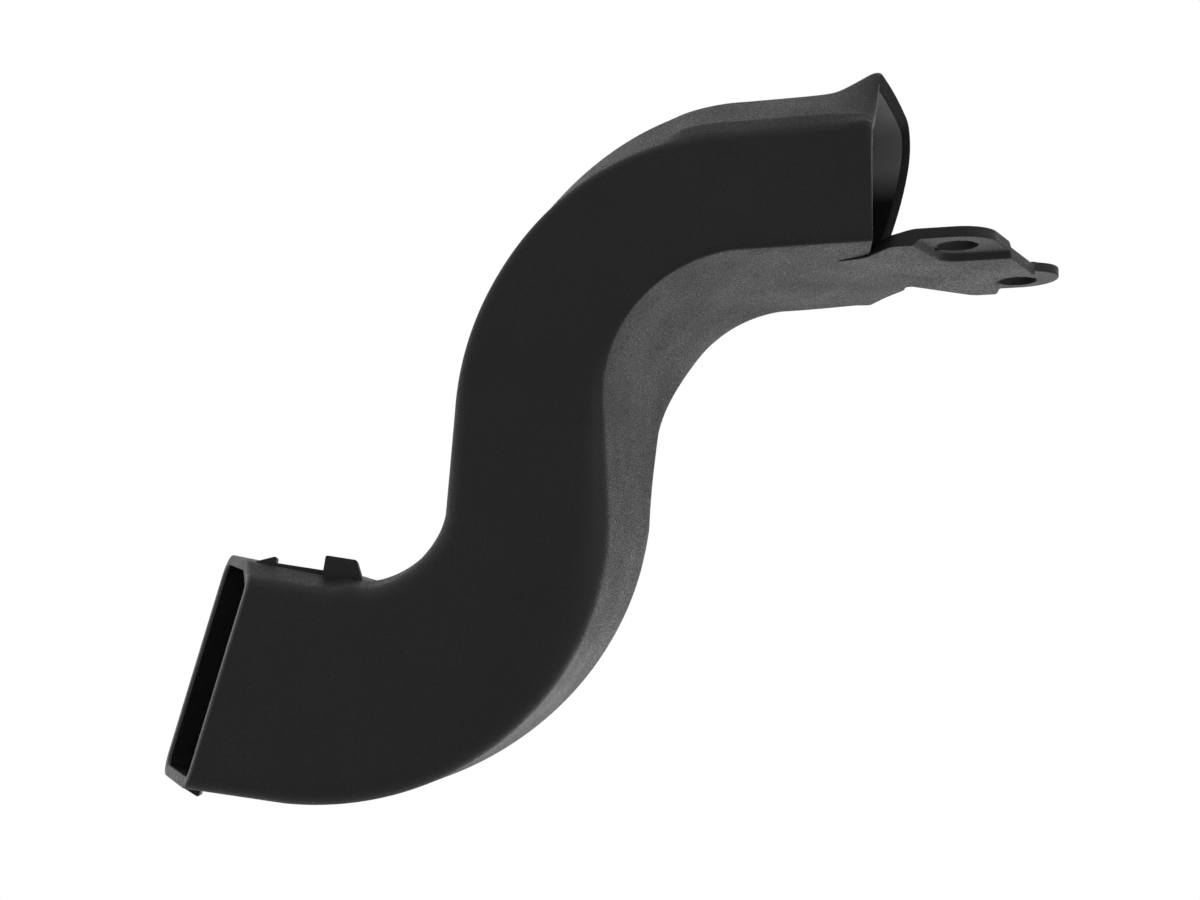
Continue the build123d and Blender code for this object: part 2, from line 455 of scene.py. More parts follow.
    def outline(self, distance: Array, inset: Array, stations: RingStations) -> Array:
        """Points of the section, across and up, at each row and station, moved inward by the inset."""
        corners, roundings = self.corners(distance)
        points = rounded_outline(corners, roundings, inset[..., None], self.inner_corner, stations)
        return self.crowned(points, corners, distance)

    def lip_end(self, inset: Array, stations: RingStations) -> Array:
        """Distances at which the lip ends: x = (y / mouth width) f(z), a parabola f through three heights.

        Args:
            inset: Moves inward, shape (rows, stations).
            stations: Places round the section.

        Returns:
            Distances, shape (rows, stations).
        """
        top = self.height[0] + self.top_rise[0] + self.flare_rise
        margin = 3.0 * self.wall
        middle = (self.lip_overhang - self.lip_setback + self.lip_bulge) / 2.0
        reaches = [-self.lip_setback, middle, self.lip_overhang]
        curve = np.polyfit([-margin, top / 2.0, top + margin], reaches, 2)
        distance = np.zeros_like(inset)
        for _ in range(SOLVE_ROUNDS):
            points = self.outline(distance, inset, stations)
            reach = np.polyval(curve, self.path.start_height + points[..., 1])
            distance = -points[..., 0] / self.width[0] * reach
        return distance

    def outlet_end(self, inset: Array, stations: RingStations) -> Array:
        """Distances at which the outlet ends, on its slanted and leaning plane.

        Args:
            inset: Moves inward, shape (rows, stations).
            stations: Places round the section.

        Returns:
            Distances, shape (rows, stations).
        """
        slant, lean = math.radians(self.outlet_slant), math.radians(self.outlet_lean)
        distance = np.full_like(inset, self.path.length)
        for _ in range(SOLVE_ROUNDS):
            points = self.outline(distance, inset, stations)
            distance = self.path.length + points[..., 0] * math.tan(slant)
            distance = distance - points[..., 1] * math.tan(lean) / math.cos(slant)
        return distance

    def wall_height(self, distance: float, side: float, face: Side) -> float:
        """Height of the roof or the floor over the middle of the near wall, that far across.

        Args:
            distance: Distance from the mouth.
            side: Distance across from the near wall.
            face: Roof or floor.

        Returns:
            Height, negative for the floor.
        """
        corners = self.corners(np.array(distance))[0]
        ends = corners[[2, 3]] if face is Side.ROOF else corners[[4, 0]][::-1]
        share = (side - ends[0, 0]) / (ends[1, 0] - ends[0, 0])
        return float(ends[0, 1] + (ends[1, 1] - ends[0, 1]) * share)


def to_frame(points: Array) -> Array:
    """Points in millimetres at the mouth's corner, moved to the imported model's frame in metres."""
    return (points + np.array(SHIFT)) * MILLIMETRE


def signed_volume(points: Array, quads: Array) -> float:
    """Volume inside closed quads, a sixth of the sum of a . (b x c + c x d), positive if they face outwards."""
    a, b, c, d = (points[quads[:, corner]] for corner in range(4))
    return float(np.sum(a * (np.cross(b, c) + np.cross(c, d))) / 6.0)


def grid_quads(rows: int, columns: int, close_rows: bool) -> Array:
    """Quads of a grid whose columns close on themselves, and whose rows may too.

    Args:
        rows: Rows of vertices.
        columns: Vertices in each row.
        close_rows: True where the last row joins the first.

    Returns:
        Corner indices, shape (quads, 4).
    """
    index = np.arange(rows * columns).reshape(rows, columns)
    below = index if close_rows else index[:-1]
    above = np.roll(index, -1, axis=0) if close_rows else index[1:]
    quads = [below, np.roll(below, -1, axis=1), np.roll(above, -1, axis=1), above]
    return np.stack(quads, axis=-1).reshape(-1, 4)


def linked(name: str, data: bpy.types.ID) -> Piece:
    """New object with that data, linked to the scene."""
    made = bpy.data.objects.new(name, data)
    bpy.context.scene.collection.objects.link(made)
    return made


def make_piece(name: str, points: Array, faces: list[list[int]]) -> Piece:
    """Smooth-shaded object at the origin with that mesh.

    Args:
        name: Name of the piece.
        points: Vertices in metres, shape (n, 3).
        faces: Corner indices of each face.

    Returns:
        The new object.
    """
    mesh = bpy.data.meshes.new(name)
    mesh.from_pydata(points.tolist(), [], faces)
    mesh.polygons.foreach_set("use_smooth", np.ones(len(mesh.polygons), dtype=bool))
    mesh.update()
    return linked(name, mesh)


@dataclass(frozen=True)
class Shading:
    """Node tree of a material or a world, with short ways to add linked nodes."""

    tree: bpy.types.NodeTree

    @classmethod
    def empty(cls, owner: bpy.types.ID) -> Shading:
        """Cleared node tree of its owner."""
        owner.use_nodes = True
        owner.node_tree.nodes.clear()
        return cls(owner.node_tree)

    def wired(self, node: bpy.types.Node, inputs: dict[str | int, object], output: str) -> Socket:
        """Output of a node after its inputs are linked from sockets or set to values.

        Args:
            node: The node.
            inputs: Socket or value of each input, by name or number.
            output: Name of the output, or empty for the first.

        Returns:
            The output.
        """
        for key, value in inputs.items():
            if isinstance(value, Socket):
                self.tree.links.new(value, node.inputs[key])
            else:
                node.inputs[key].default_value = value
        return node.outputs[output or 0]

    def add(self, kind: str, inputs: dict[str | int, object], output: str = "") -> Socket:
        """Output of a new node of that kind."""
        return self.wired(self.tree.nodes.new("ShaderNode" + kind), inputs, output)

    def worked_out(self, operation: str, *terms: object, kind: str = "Math", output: str = "Value") -> Socket:
        """Output of a new node that applies the operation to the terms."""
        node = self.tree.nodes.new("ShaderNode" + kind)
        node.operation = operation
        return self.wired(node, dict(enumerate(terms)), output)

    def blended(self, share: Socket, first: object, second: object) -> Socket:
        """Colour that goes from the first to the second with the share."""
        node = self.tree.nodes.new("ShaderNodeMix")
        node.data_type = "RGBA"
        return self.wired(node, {"Factor": share, "A": first, "B": second}, "Result")

    def mapped(
        self, value: Socket, source: tuple[float, ...], result: tuple[float, ...], kind: str = "LINEAR"
    ) -> Socket:
        """Value moved from one range to another, with its ends held."""
        node = self.tree.nodes.new("ShaderNodeMapRange")
        node.interpolation_type = kind
        levels = zip(("From Min", "From Max", "To Min", "To Max"), (*source, *result))
        return self.wired(node, {"Value": value, **dict(levels)}, "Result")

    def seen(self) -> Socket:
        """1 for rays of the camera, of reflections and of transmission, and 0 for other light."""
        rays = self.tree.nodes.new("ShaderNodeLightPath").outputs
        direct = self.worked_out("MAXIMUM", rays["Is Camera Ray"], rays["Is Glossy Ray"])
        return self.worked_out("MAXIMUM", direct, rays["Is Transmission Ray"])

    def show(self, kind: str, surface: Socket) -> None:
        """Links the surface to a new output node of that kind."""
        self.tree.links.new(surface, self.tree.nodes.new("ShaderNode" + kind).inputs["Surface"])


@dataclass(frozen=True)
class GrainedPlastic:
    """Matte moulded plastic with a fine spark-eroded grain, flecks and faint tones of its sheen."""

    name: str
    colour: Triple
    roughness: float
    specular: float
    grain_scale: float = 1750.0
    grain_depth: float = 0.0004
    grain_strength: float = 0.6
    ripple_scale: float = 420.0
    ripple_strength: float = 0.1
    tone_scale: float = 30.0
    tone_range: tuple[float, float] = (0.3, 0.7)
    tone_spread: float = 0.06
    fleck_range: tuple[float, float] = (0.35, 0.65)
    fleck_spread: float = 0.6
    sheen_spread: float = 0.22
    # Heights in metres over which the colour fades up from a painted shadow; None for no painted shade.
    painted_shade: tuple[float, float] | None = None

    def material(self) -> bpy.types.Material:
        """Node material on Object coordinates: bumps, flecks in colour and sheen, and wide tones in sheen.

        With a painted shade, the colour goes from a painted shadow's near black below its first height
        to its own at the second.
        """
        material = bpy.data.materials.new(self.name)
        nodes = Shading.empty(material)
        place = nodes.add("TexCoord", {}, "Object")
        grain, ripple, tone = (
            nodes.add("TexNoise", {"Scale": scale, "Detail": detail, "Vector": place}, "Fac")
            for scale, detail in ((self.grain_scale, 3.0), (self.ripple_scale, 2.0), (self.tone_scale, 3.0))
        )
        bump = {"Strength": self.grain_strength, "Distance": self.grain_depth, "Height": grain}
        normal = nodes.add("Bump", bump)
        bump = {"Strength": self.ripple_strength, "Distance": self.grain_depth, "Height": ripple, "Normal": normal}
        normal = nodes.add("Bump", bump)
        fleck = nodes.mapped(grain, self.fleck_range, (0.0, 1.0))
        dark = (*(level * (1.0 - self.fleck_spread) for level in self.colour), 1.0)
        light = (*(level * (1.0 + self.fleck_spread) for level in self.colour), 1.0)
        colour = nodes.blended(fleck, dark, light)
        # Painted shade: below these heights the colour is painted towards a shadow's near black.
        if self.painted_shade is not None:
            raised = nodes.mapped(nodes.add("SeparateXYZ", {"Vector": place}, "Z"), self.painted_shade, (0.0, 1.0))
            colour = nodes.blended(raised, (*SHADOW_COLOUR, 1.0), colour)
        spread = (self.roughness - self.sheen_spread, self.roughness + self.sheen_spread)
        sheen = nodes.mapped(fleck, (0.0, 1.0), spread)
        change = nodes.mapped(tone, self.tone_range, (-self.tone_spread, self.tone_spread))
        surface = {
            "Base Color": colour,
            "Roughness": nodes.worked_out("ADD", sheen, change),
            "Specular IOR Level": self.specular,
            "Normal": normal,
        }
        nodes.show("OutputMaterial", nodes.add("BsdfPrincipled", surface))
        return material


SHELL_FINISH = GrainedPlastic("scoop_black", (0.0083, 0.0083, 0.0088), roughness=0.52, specular=0.17)
TRIMMED_FINISH = GrainedPlastic(
    "trimmed_edge_black", (0.02, 0.02, 0.0205), roughness=0.5, specular=0.3, grain_strength=0.2
)
# Inside of the duct: its grey colour is painted light on black plastic, and below its heights it is painted
# shadow.
PAINTED_LIGHT_AND_SHADE_FINISH = GrainedPlastic(
    "inside_painted_light_and_shade",
    (0.092, 0.092, 0.094),
    roughness=0.6,
    specular=0.05,
    grain_strength=0.1,
    fleck_spread=0.1,
    painted_shade=(0.0445, 0.060),
)
COARSE_FINISH = GrainedPlastic(
    "coarse_lip_black", (0.012, 0.012, 0.0125), roughness=0.7, specular=0.03, grain_strength=0.8
)


def dress(piece: Piece, *finishes: bpy.types.Material) -> None:
    """Gives a piece its finishes and ties it to the scoop.

    Args:
        piece: The piece.
        finishes: Materials, in the order of the mesh's slots.
    """
    for finish in finishes:
        piece.data.materials.append(finish)
    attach(piece, "root")
    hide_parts(Node.SCOOP.value)
    LOG.info("built %s: %d faces", piece.name, len(piece.data.polygons))


@dataclass
class Duct:
    """Hollow duct as one closed skin: outside, outlet rim, inside and lip rim."""

    section: DuctSection = field(default_factory=DuctSection)
    rim_round: float = 0.8
    lip_round: float = 2.9
    lip_roll: float = 1.8
    lip_reach: float = 0.5
    rim_support: float = 0.35
    lip_chamfer: float = 2.6
    roll_start: float = 0.8
    roll_rise: float = 3.0
    roll_end: float = 4.0
    chamfer_start: float = 1.6
    chamfer_end: float = 4.9
    fall: float = 2.0
    shell_share: float = 0.75
    coarse_corner: int = 2
    round_steps: int = 7
    row_length: float = 2.0
    arc_steps: tuple[int, ...] = (12, 12, 12, 14, 12)
    run_steps: tuple[int, ...] = (12, 36, 18, 14, 20)

    def rim_profile(self, outer: Array, roll: Array) -> tuple[Array, Array]:
        """Profile over a rim from the outside in: a quarter of an ellipse, a flat and a quarter round.

        Args:
            outer: Depth of the outer round into the wall at each station.
            roll: Its length along the duct over its depth.

        Returns:
            Insets from the outer skin and setbacks from the end, shape (rows, stations).
        """
        angle = np.linspace(0.0, math.pi / 2.0, self.round_steps)[:, None]
        r, wall = self.rim_round, self.section.wall
        low, high = outer + self.rim_support, wall - r - self.rim_support
        flat = np.stack([low, (low + high) / 2.0, np.full_like(outer, high)])
        inner = np.broadcast_to(wall - r + r * np.sin(angle), (angle.size, outer.size))
        inset = np.concatenate([outer - outer * np.cos(angle), flat, inner])
        back = np.broadcast_to(r - r * np.cos(angle), (angle.size, outer.size))
        setback = np.concatenate([roll * (outer - outer * np.sin(angle)), np.zeros_like(flat), back])
        return inset, setback

    def rolled(self, stations: RingStations) -> Array:
        """Share of the lip's larger outer round at each station: none on the near wall and floor."""
        rise = smooth_share((stations.travelled - self.roll_start) * self.roll_rise)
        return rise * smooth_share((self.roll_end - stations.travelled) * self.fall)

    def outer_round(self, stations: RingStations) -> Array:
        """Depth of the lip's outer round into the wall at each station."""
        return self.rim_round + (self.lip_round - self.rim_round) * self.rolled(stations)

    def chamfered(self, stations: RingStations) -> Array:
        """Share of the lip's chamfer at each station: full on the top and far wall, none on the near side."""
        rise = smooth_share(stations.travelled - self.chamfer_start)
        return rise * smooth_share((self.chamfer_end - stations.travelled) * self.fall)

    def rows(self, stations: RingStations) -> tuple[Array, Array, Array]:
        """Distances and insets of all rows, round the wall: out along the outside, back along the inside.

        Args:
            stations: Places round the section.

        Returns:
            Distances and insets, shape (rows, stations), and the zone of each row.
        """
        even, rolled = np.full(stations.corner.size, self.rim_round), self.rolled(stations)
        outer = self.outer_round(stations)
        lip_inset, lip_setback = self.rim_profile(outer, 1.0 + (self.lip_roll - 1.0) * rolled)
        outlet_inset, outlet_setback = self.rim_profile(even, np.ones_like(even))
        lip = self.section.lip_end(lip_inset, stations) + lip_setback
        lip = lip - self.lip_reach * rolled
        past_round = np.maximum(lip_inset - outer, 0.0) / (self.section.wall - outer)
        lip = lip + self.lip_chamfer * past_round * self.chamfered(stations)
        outlet = self.section.outlet_end(outlet_inset, stations) - outlet_setback
        count = round(self.section.path.length / self.row_length)
        near_end = self.rim_support / self.section.path.length
        share = np.concatenate([[near_end], np.linspace(0.0, 1.0, count + 1)[1:-1], [1.0 - near_end]])[:, None]
        outside = lip[:1] + (outlet[:1] - lip[:1]) * share
        inside = lip[-1:] + (outlet[-1:] - lip[-1:]) * share[::-1]
        skin = np.zeros_like(outside)
        distance = np.concatenate([outside, outlet, inside, lip[::-1]])
        insets = np.concatenate([skin, outlet_inset, skin + self.section.wall, lip_inset[::-1]])
        lengths = [len(outside), len(outlet), len(inside), len(lip)]
        zone = np.repeat([part.value for part in Zone], lengths)
        return distance, insets, zone

    def build(self) -> Piece:
        """Mesh of the duct: path place of the section's outline at every row and station."""
        stations = RingStations.spread(self.arc_steps, self.run_steps)
        distance, inset, zone = self.rows(stations)
        outline = self.section.outline(distance, inset, stations)
        points = self.section.path.place(distance, outline[..., 0], outline[..., 1])
        points = to_frame(points).reshape(-1, 3)
        quads = grid_quads(distance.shape[0], distance.shape[1], close_rows=True)
        if signed_volume(points, quads) < 0.0:
            quads = quads[:, ::-1]
        piece = make_piece("duct_shell", points, quads.tolist())
        piece.data.polygons.foreach_set("material_index", self.finishes(zone, inset, stations))
        return piece

    def finishes(self, zone: Array, inset: Array, stations: RingStations) -> Array:
        """Finish of each face by its zone, but on the lip's rim it changes over the outer round.

        Args:
            zone: Zone of each row.
            inset: Insets, shape (rows, stations).
            stations: Places round the section.

        Returns:
            Material indices, one for each face.
        """
        finish = np.repeat(np.array(FINISH_OF_ZONE)[zone][:, None], stations.corner.size, axis=1)
        on_lip = (zone == Zone.LIP_RIM.value)[:, None]
        outer = self.outer_round(stations)
        finish = np.where(on_lip & (inset < self.shell_share * outer), Finish.SHELL.value, finish)
        coarse = on_lip & (stations.corner >= self.coarse_corner) & (inset > outer - self.rim_support)
        finish = np.where(coarse, Finish.COARSE.value, finish)
        return finish.reshape(-1).astype(np.int32)


@dataclass
class Bracket:
    """Fixing bracket: a flat plate under the mouth with a raised pad round each hole."""

    section: DuctSection = field(default_factory=DuctSection)
    plate: float = 4.3
    plate_drop: float = 1.3
    top_height: float = 3.5
    top_step: float = 2.0
    hole_radius: float = 8.0
    holes: tuple[tuple[float, float], ...] = ((30.5, 24.0), (50.5, 98.0))
    pad_step: float = 2.5
    pad_start: float = 15.5
    pad_near: float = 8.0
    pad_skew: float = 0.28
    pad_top_start: float = 10.5
    pad_top_ramp: float = 12.0
    pad_side: float = 40.0
    pad_corner: float = 6.0
    pad_ramp: float = 3.4
    pad_wall: float = 2.4
    ear_start: float = 41.5
    ear_side: float = 77.0
    ear_wall: float = 1.8
    flush_step: float = 0.15
    flush_sink: float = 0.5
    sink_start: float = 2.0
    sink_length: float = 16.0
    ledge_step: float = 0.9
    ledge_side: float = 45.0
    ledge_fade: float = 25.0
    ledge_start: float = -21.0
    ledge_ramp: float = 4.0
    lip_slope: float = 0.16
    flush_end: float = 3.0
    flush_fade: float = 15.0
    ear_thickness: float = 3.9
    edge_round: float = 0.6
    spacing: float = 0.9
    clearance: float = 0.7
    arc_steps: int = 24
    hole_steps: int = 72
    merge_distance: float = 1e-6
    outline_corners: tuple[Triple, ...] = (
        (-30.0, 112.0, 4.0),
        (-15.7, 119.75, 2.0),
        (2.25, 93.0, 3.0),
        (4.5, 84.0, 2.0),
        (30.5, 112.0, 9.0),
        (68.0, 112.0, 17.5),
        (68.0, 84.32, 14.0),
        (59.15, 79.29, 4.5),
        (43.34, 8.0, 16.0),
        (6.0, 8.0, 5.0),
        (-6.5, 25.5, 14.0),
        (-30.0, 36.0, 3.0),
    )

    def outline(self) -> Array:
        """Points of the plate's outline, evenly spaced along its length."""
        table = np.array(self.outline_corners)
        stations = RingStations.spread((self.arc_steps,) * len(table), (2,) * len(table))
        corners = np.broadcast_to(table[:, :2], (stations.corner.size, *table[:, :2].shape))
        radii = np.broadcast_to(table[:, 2], (stations.corner.size, len(table)))
        ring = rounded_outline(corners, radii, np.zeros(1), 0.0, stations)
        closed = np.concatenate([ring, ring[:1]])
        travelled = np.concatenate([[0.0], np.cumsum(np.linalg.norm(np.diff(closed, axis=0), axis=1))])
        even = np.linspace(0.0, travelled[-1], round(travelled[-1] / self.spacing) + 1)[:-1]
        return np.stack([np.interp(even, travelled, closed[:, axis]) for axis in range(2)], axis=-1)

    def inward(self, ring: Array) -> Array:
        """Unit normals into the plate along a clockwise outline."""
        along = unit(np.roll(ring, -1, axis=0) - np.roll(ring, 1, axis=0))
        return np.stack([along[:, 1], -along[:, 0]], axis=-1)

    def ear_share(self, plan: Array) -> Array:
        """Share of the ear's rise at a plan point, the product of a ramp along x and one along y."""
        along = smooth_share(0.5 + (plan[..., 0] - self.ear_start) / self.ear_wall)
        return along * smooth_share(0.5 + (plan[..., 1] - self.ear_side) / self.ear_wall)

    def pad_share(self, plan: Array) -> Array:
        """Share of the near pad's rise: a ramp of the distance to a rounded corner with a skewed side.

        Args:
            plan: Plan points, shape (..., 2).

        Returns:
            Shares, shape (...).
        """
        start = self.pad_start + self.pad_skew * (plan[..., 1] - self.pad_near)
        left = np.maximum(start + self.pad_corner - plan[..., 0], 0.0)
        far = np.maximum(plan[..., 1] - self.pad_side + self.pad_corner, 0.0)
        reach = np.hypot(left, far)
        turned = np.square(left / np.maximum(reach, 1e-6))
        width = self.pad_wall + (self.pad_ramp - self.pad_wall) * turned
        return smooth_share(0.5 - (reach - self.pad_corner) / width)

    def duct_floor(self, plan: Array) -> Array:
        """Height of the duct's floor over a plan point, falling in proportion to the distance across."""
        distance = np.maximum(-plan[..., 0], 0.0)
        corners = self.section.corners(distance)[0]
        across = np.clip(plan[..., 1] / self.section.width[0], 0.0, 1.0)
        low = corners[..., 0, 1] + (corners[..., 4, 1] - corners[..., 0, 1]) * across
        return low + self.section.path.start_height

    def underside(self, plan: Array) -> Array:
        """Height of the underside: the plate's, plus the step times the pad's or the ear's share.

        Behind the lip it is flush with the duct's floor, from which it fades to the plate's own height.

        Args:
            plan: Plan points, shape (..., 2).

        Returns:
            Heights, shape (...).
        """
        level = self.pad_step * np.maximum(self.pad_share(plan), self.ear_share(plan)) - self.plate_drop
        flush = smooth_share((self.flush_end - plan[..., 0]) / self.flush_fade)
        lip = -self.lip_slope * plan[..., 1]
        sunk = self.flush_sink * smooth_share((lip - self.sink_start - plan[..., 0]) / self.sink_length)
        ledge = smooth_share((self.ledge_side - plan[..., 1]) / self.ledge_fade)
        ledge = ledge * smooth_share((plan[..., 0] - self.ledge_start) / self.ledge_ramp) * self.ledge_step
        return level + (self.duct_floor(plan) - self.flush_step - ledge + sunk - level) * flush

    def topside(self, plan: Array) -> Array:
        """Height of the top: the plate's, with its own long ramp to the near pad and a thinner ear.

        Args:
            plan: Plan points, shape (..., 2).

        Returns:
            Heights, shape (...).
        """
        ramp = smooth_share(0.5 + (plan[..., 0] - self.pad_top_start) / self.pad_top_ramp)
        wall = smooth_share(0.5 - (plan[..., 1] - self.pad_side) / self.pad_ramp)
        ear = self.ear_share(plan)
        rise = self.top_step * np.maximum(ramp * wall, ear)
        return self.top_height + rise + (self.ear_thickness - self.plate) * ear

    def rings(self) -> list[tuple[Array, Array]]:
        """Outline and hole circles, each with the unit directions into the plate."""
        outline = self.outline()
        rings = [(outline, self.inward(outline))]
        for hole in self.holes:
            angle = np.linspace(0.0, 2.0 * math.pi, self.hole_steps, endpoint=False)
            spoke = np.stack([np.cos(angle), np.sin(angle)], axis=-1)
            rings.append((np.array(hole) + self.hole_radius * spoke, spoke))
        return rings

    def plan_points(self, rings: list[tuple[Array, Array]]) -> Array:
        """Grid points inside the outline and clear of every ring, by the even-odd rule on each row.

        Args:
            rings: Outline and hole circles.

        Returns:
            Plan points, shape (n, 2).
        """
        outline = rings[0][0]
        low, high = outline.min(axis=0), outline.max(axis=0)
        x, y = (np.arange(low[axis], high[axis], self.spacing) for axis in range(2))
        grid = np.stack(np.meshgrid(x, y, indexing="ij"), axis=-1).reshape(-1, 2)
        ahead = np.roll(outline, -1, axis=0)
        above = (outline[:, 1] > grid[:, 1:]) != (ahead[:, 1] > grid[:, 1:])
        rise = np.where(ahead[:, 1] == outline[:, 1], 1.0, ahead[:, 1] - outline[:, 1])
        crossing = outline[:, 0] + (grid[:, 1:] - outline[:, 1]) / rise * (ahead[:, 0] - outline[:, 0])
        keep = np.sum(above & (grid[:, :1] < crossing), axis=1) % 2 == 1
        clear = self.edge_round + self.clearance * self.spacing
        keep &= np.linalg.norm(grid[:, None] - outline, axis=-1).min(axis=1) > clear
        return grid[keep & self.off_holes(grid, clear)]

    def off_holes(self, plan: Array, clear: float) -> Array:
        """True for each plan point that is further than that from the rim of every hole."""
        gaps = np.linalg.norm(plan[:, None] - np.array(self.holes), axis=-1)
        return np.all(gaps > self.hole_radius + clear, axis=1)

    def triangles(self, plan: Array, starts: Array) -> Array:
        """Triangles between the plan points, with every ring as a chain of edges and none in a hole.

        Args:
            plan: Plan points, ring after ring and then those inside.
            starts: Index of the first point of each ring, and of the first one inside.

        Returns:
            Corner indices, shape (triangles, 3).
        """
        edges = []
        for start, end in zip(starts, starts[1:]):
            index = np.arange(start, end)
            edges += np.stack([index, np.roll(index, -1)], axis=-1).tolist()
        result = delaunay_2d_cdt(plan.tolist(), edges, [], 1, self.merge_distance)
        source = np.array([origins[0] for origins in result[3]])
        triangles = source[np.array(result[2])]
        return triangles[self.off_holes(plan[triangles].mean(axis=1), 0.0)]

    def build(self) -> Piece:
        """Mesh of the bracket: two caps over one triangulated plan, joined by rounded edge profiles."""
        rings = self.rings()
        cap_rings = [ring + inward * self.edge_round for ring, inward in rings]
        plan = np.concatenate([*cap_rings, self.plan_points(rings)])
        starts = np.cumsum([0, *[len(ring) for ring in cap_rings]])
        triangles = self.triangles(plan, starts)
        points = [np.column_stack([plan, self.underside(plan)]), np.column_stack([plan, self.topside(plan)])]
        faces = triangles[:, ::-1].tolist() + (triangles + len(plan)).tolist()
        inset, lift = (profile[1:-1, None] for profile in rounded_ends(self.edge_round, 0.0))
        rows, used = len(inset), 2 * len(plan)
        for start, (ring, inward) in zip(starts, rings):
            place = ring + inward * inset[..., None]
            base = np.concatenate([self.underside(place[: rows // 2]), self.topside(place[rows // 2 :])])
            points.append(np.concatenate([place, (base + lift)[..., None]], axis=-1).reshape(-1, 3))
            low = (start + np.arange(len(ring)))[None]
            middle = used + np.arange(rows * len(ring)).reshape(rows, -1)
            index = np.concatenate([low, middle, low + len(plan)])
            ahead = np.roll(index, -1, axis=1)
            faces += np.stack([index[:-1], ahead[:-1], ahead[1:], index[1:]], axis=-1).reshape(-1, 4).tolist()
            used += middle.size
        piece = make_piece("bracket_plate", to_frame(np.concatenate(points)), faces)
        point_outwards(piece)
        return piece


def point_outwards(piece: Piece) -> None:
    """Turns the faces of a closed mesh outwards."""
    shape = bmesh.new()
    shape.from_mesh(piece.data)
    bmesh.ops.recalc_face_normals(shape, faces=shape.faces)
    shape.to_mesh(piece.data)
    shape.free()


@dataclass
class OutletFittings:
    """Snap wedges above and below the outlet, with the land and the stop tab behind the upper one."""

    section: DuctSection = field(default_factory=DuctSection)
    wedge_setback: float = 3.5
    lower_wedge_setback: float = 0.6
    wedge_length: float = 8.8
    wedge_rise: float = 3.8
    wedge_width: float = 9.0
    wedge_side: float = 19.0
    land_rise: float = 1.2
    stop_setback: float = 32.2
    stop_length: float = 12.8
    stop_foot: float = 5.0
    stop_rise: float = 8.0
    stop_width: float = 14.0
    root: float = 2.25
    edge: float = 0.45
    corner: float = 0.9
    least_corner: float = 0.135
    arc_steps: int = 5
    run_steps: int = 6

    def prism(
        self, name: str, outline: list[tuple[float, float]], width: float, start: float, spot: float, face: Side
    ) -> Piece:
        """Rounded prism on the roof or floor of the outlet.

        Its outline is (height, distance back). Rings of the outline are carried across the duct, moved
        inward by r - r cos(a) at both ends, and each end is closed by a fan to its middle.

        Args:
            name: Name of the piece.
            outline: Corners as height over the wall and distance back from the spot.
            width: Width across the duct.
            start: Distance across at which the prism starts, from the fitting's own side.
            spot: Setback of the prism from the slanted end.
            face: Roof or floor.

        Returns:
            The piece.
        """
        corners = np.array(outline)
        turned = np.roll(corners, -1, axis=0)
        if np.sum(corners[:, 0] * turned[:, 1] - corners[:, 1] * turned[:, 0]) > 0.0:
            corners = corners[::-1]
        count = len(corners)
        stations = RingStations.spread((self.arc_steps,) * count, (self.run_steps,) * count)
        inset, across = rounded_ends(self.edge, width)
        rows, columns = shape = (inset.size, stations.corner.size)
        rings = rounded_outline(
            np.broadcast_to(corners, (*shape, *corners.shape)),
            np.full((*shape, count), self.corner),
            inset[:, None, None],
            self.least_corner,
            stations,
        )
        local = np.concatenate([np.broadcast_to(across[:, None, None], (*shape, 1)), rings], axis=-1)
        points = np.concatenate([local.reshape(-1, 3), local[[0, -1]].mean(axis=1)])
        points = self.placed(points, start, spot, face)
        ring = np.arange(columns)
        last = (rows - 1) * columns + ring
        first_fan = np.stack([np.roll(ring, -1), ring, np.full(columns, rows * columns)], axis=-1)
        last_fan = np.stack([last, np.roll(last, -1), np.full(columns, rows * columns + 1)], axis=-1)
        faces = grid_quads(rows, columns, close_rows=False).tolist() + first_fan.tolist() + last_fan.tolist()
        piece = make_piece(name, to_frame(points), faces)
        point_outwards(piece)
        return piece

    def placed(self, local: Array, start: float, spot: float, face: Side) -> Array:
        """Points given as across, height over the wall and distance back, moved to the outlet's wall.

        Args:
            local: Points, shape (n, 3).
            start: Distance across at which the fitting starts.
            spot: Setback from the slanted end.
            face: Roof or floor.

        Returns:
            Points at the mouth's corner frame.
        """
        section, path = self.section, self.section.path
        slant, lean = math.radians(section.outlet_slant), math.radians(section.outlet_lean)
        height = section.wall_height(path.length, self.wedge_side, face)
        distance = path.length - spot - height * math.tan(lean) / math.cos(slant)
        distance += self.wedge_side * math.tan(slant)
        level = section.wall_height(distance, self.wedge_side, face)
        far, roof, back = path.heading(np.array(distance))
        origin = path.line(np.array(distance)) + far * (self.wedge_side + start) + roof * level
        return origin + local[:, :1] * far + face.value * local[:, 1:2] * roof + local[:, 2:] * back

    def build(self) -> list[Piece]:
        """Meshes of the two wedges, the land and the stop tab."""
        root = self.root
        wedge = [(-root, 0.0), (0.0, 0.0), (self.wedge_rise, self.wedge_length), (-root, self.wedge_length)]
        land_start = self.wedge_setback + self.wedge_length
        land_length = self.stop_setback - land_start + root
        land = [(-root, 0.0), (self.land_rise, 0.0), (self.land_rise, land_length), (-root, land_length)]
        foot = self.stop_length + self.stop_foot
        stop = [(-root, 0.0), (self.stop_rise, 0.0), (self.stop_rise, self.stop_length), (-root, foot)]
        width = self.wedge_width
        return [
            self.prism("snap_wedge_upper", wedge, width, 0.0, self.wedge_setback, Side.ROOF),
            self.prism("snap_wedge_lower", wedge, width, 0.0, self.lower_wedge_setback, Side.FLOOR),
            self.prism("latch_land", land, width, 0.0, land_start, Side.ROOF),
            self.prism("stop_tab", stop, self.stop_width, -self.stop_width / 4.0, self.stop_setback, Side.ROOF),
        ]


